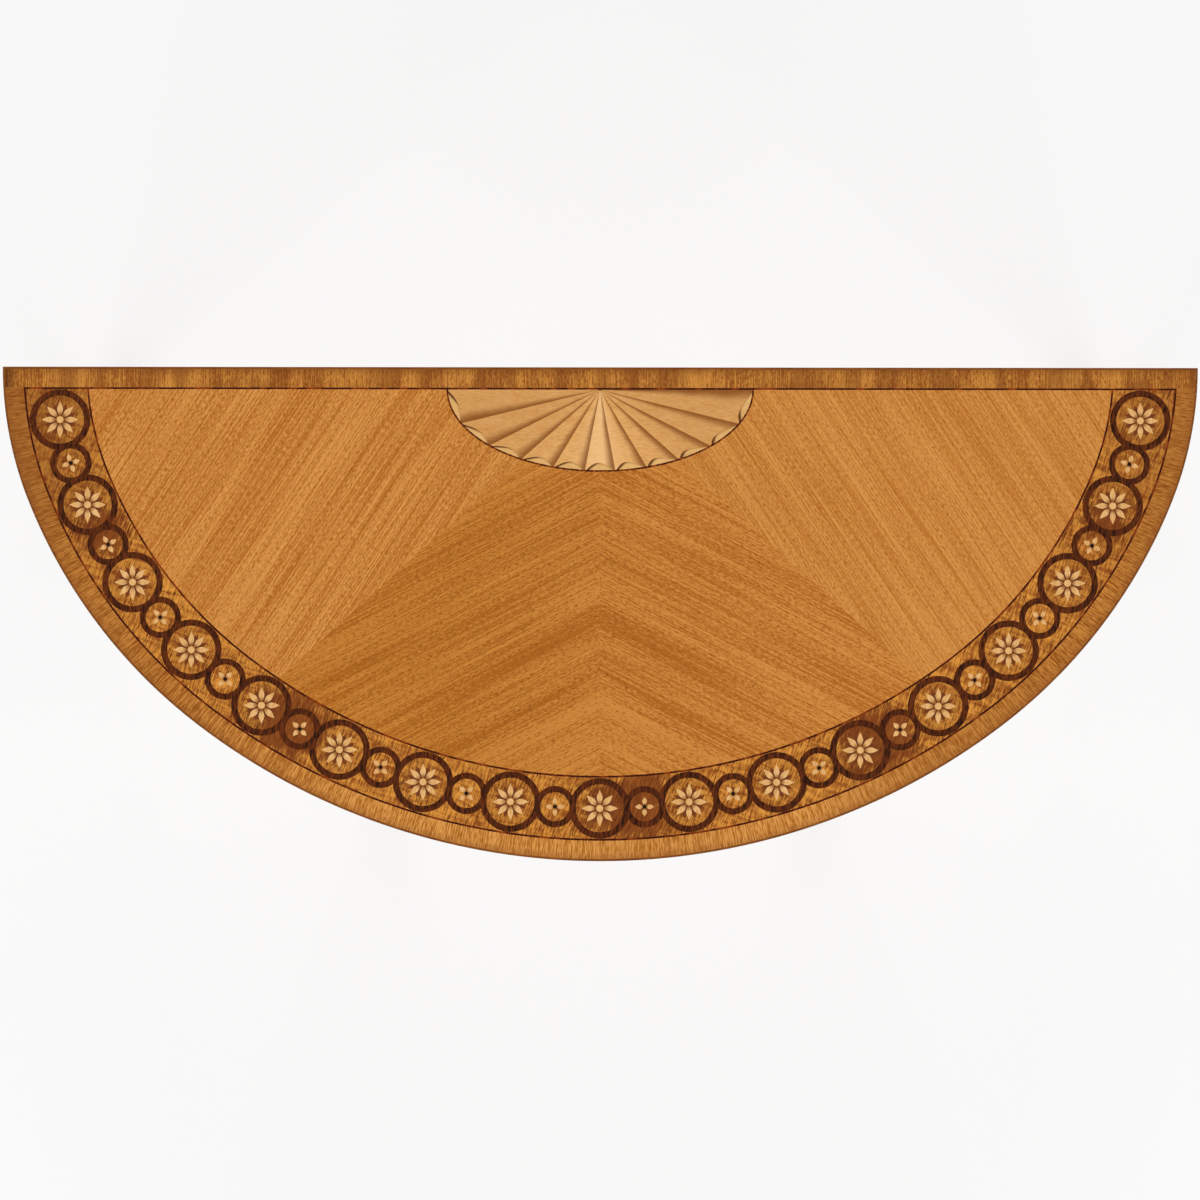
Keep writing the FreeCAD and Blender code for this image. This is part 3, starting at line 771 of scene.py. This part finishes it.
# Curled tips of the same wood: a small dark wedge at one end, a faint line over the rest.
curled, tree, base = timber("curled_tip_boxwood", 0.42)
across = add(tree, "ShaderNodeAttribute", {}, attribute_name="across").outputs["Fac"]
out = add(tree, "ShaderNodeAttribute", {}, attribute_name="out").outputs["Fac"]
links = {0: across, 1: CURL, 2: out}
curl = add(tree, "ShaderNodeMath", links, operation="MULTIPLY_ADD").outputs[0]
level = lay(tree, (0, 0, 0))
wood = figure(tree, level, "#D2A05E", "#E6B876", FLUTE_GRAIN)
wood = pored(tree, wood, "#AE7236", level, BOXWOOD_PORES, 0.3)
wood = stained(tree, wood, "#A87038", out, 0.0, 0.3, 0.7, 0.0)
wood = stained(tree, wood, "#562808", curl, 0.55, 1.0, 0.95, 0.0)
tree.links.new(stained(tree, wood, "#4A240A", across, 0.0, 0.18, 0.9, 0.0), base)
tips.data.materials.append(curled)

tops, faces = [], []
for i in range(FLUTES * ACROSS_STEPS + 1):
    flute = min(i // ACROSS_STEPS, FLUTES - 1)
    for inset in (FAN_STRING, 0.0):
        tops.append((*on_rim(flute, i / ACROSS_STEPS - flute, inset), top_z))
for first in range(0, len(tops) - 2, 2):
    faces.append((first, first + 1, first + 3, first + 2))
fan_string = slab("fan_string", tops, faces, veneer)
# Rosewood, browner than the other strings and broken in short dashes.
dashed, tree, base = timber("rosewood_fan_string", 0.4)
dashes = streaks(tree, lay(tree, (0, 0, 0)), *DASH)
sunk(tree, dashes, DASH_FROM, DASH_TO)
tree.links.new(stained(tree, colour("#430F00"), "#8A4310", dashes, DASH_FROM, DASH_TO), base)
fan_string.data.materials.append(dashed)
for piece in (flutes, tips, fan_string):
    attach(piece, "root")
    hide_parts("fan_flutes")


# Studio: a white floor under soft light from all round, seen from straight above.
# A long lens keeps the outline true.
FLOOR = 8.0
PAPER_GLOW = 0.6
SHADOW_REACH = 0.8
WHITE_FROM = 2.4
SKY = 0.5
SOFTBOX = 2.0
# Softboxes: place and power in watts.
LIGHTS = (((-2.2, -2.6, 3.4), 50.0), ((2.2, -2.6, 3.4), 50.0), ((0.0, 2.8, 3.4), 45.0))
LENS = 235.0
FAR = 8.0
FARTHEST = 50.0
VIEW_WIDTH = 1.2249
VIEW_Y = 0.0146
ROLL = 0.07
white = colour("#FFFFFF")


def looked_at(tree):
    """One where the camera, a reflection or a clear piece looks at the backdrop, else nought."""
    path = add(tree, "ShaderNodeLightPath", {}).outputs
    links = {0: path["Is Camera Ray"], 1: path["Is Glossy Ray"]}
    seen = add(tree, "ShaderNodeMath", links, operation="MAXIMUM")
    links = {0: seen.outputs[0], 1: path["Is Transmission Ray"]}
    return add(tree, "ShaderNodeMath", links, operation="MAXIMUM").outputs[0]


corners = [(-FLOOR, -FLOOR, 0), (FLOOR, -FLOOR, 0), (FLOOR, FLOOR, 0), (-FLOOR, FLOOR, 0)]
floor = made("floor", corners, [(0, 1, 2, 3)])
# White paper that shows as white to the camera and keeps a faint shadow near the table.
paper = bpy.data.materials.new("white_floor")
paper.use_nodes = True
tree = paper.node_tree
tree.nodes.clear()
matt = add(tree, "ShaderNodeBsdfDiffuse", {"Color": white}).outputs[0]
glow = add(tree, "ShaderNodeEmission", {"Color": white, "Strength": 1.0}).outputs[0]
place = add(tree, "ShaderNodeTexCoord", {}).outputs["Object"]
away = add(tree, "ShaderNodeVectorMath", {0: place}, operation="LENGTH").outputs["Value"]
links = {"Value": away, 1: SHADOW_REACH, 2: WHITE_FROM, 3: PAPER_GLOW, 4: 1.0}
share = add(tree, "ShaderNodeMapRange", links, interpolation_type="SMOOTHSTEP").outputs[0]
links = {0: looked_at(tree), 1: share}
share = add(tree, "ShaderNodeMath", links, operation="MULTIPLY").outputs[0]
blend = add(tree, "ShaderNodeMixShader", {0: share, 1: matt, 2: glow}).outputs[0]
add(tree, "ShaderNodeOutputMaterial", {"Surface": blend})
floor.data.materials.append(paper)

world = bpy.data.worlds.new("studio")
world.use_nodes = True
tree = world.node_tree
links = {0: looked_at(tree), 1: 1 - SKY, 2: SKY}
strength = add(tree, "ShaderNodeMath", links, operation="MULTIPLY_ADD").outputs[0]
tree.links.new(strength, tree.nodes["Background"].inputs["Strength"])
tree.nodes["Background"].inputs["Color"].default_value = white
bpy.context.scene.world = world
for spot, power in LIGHTS:
    lamp = bpy.data.lights.new("softbox", "AREA")
    lamp.size = SOFTBOX
    lamp.energy = power
    softbox = bpy.data.objects.new("softbox", lamp)
    softbox.location = spot
    aim = Vector((0, 0, top_z / 2)) - softbox.location
    softbox.rotation_euler = aim.to_track_quat("-Z", "Y").to_euler()
    bpy.context.scene.collection.objects.link(softbox)

camera = bpy.data.cameras.new("camera")
camera.lens = LENS
camera.sensor_width = LENS * VIEW_WIDTH / FAR
camera.clip_end = FARTHEST
eye = bpy.data.objects.new("camera", camera)
eye.location = (0.0, VIEW_Y, top_z + FAR)
eye.rotation_euler = (0.0, 0.0, math.radians(ROLL))
bpy.context.scene.collection.objects.link(eye)
bpy.context.scene.camera = eye
bpy.context.scene.view_settings.view_transform = "Standard"
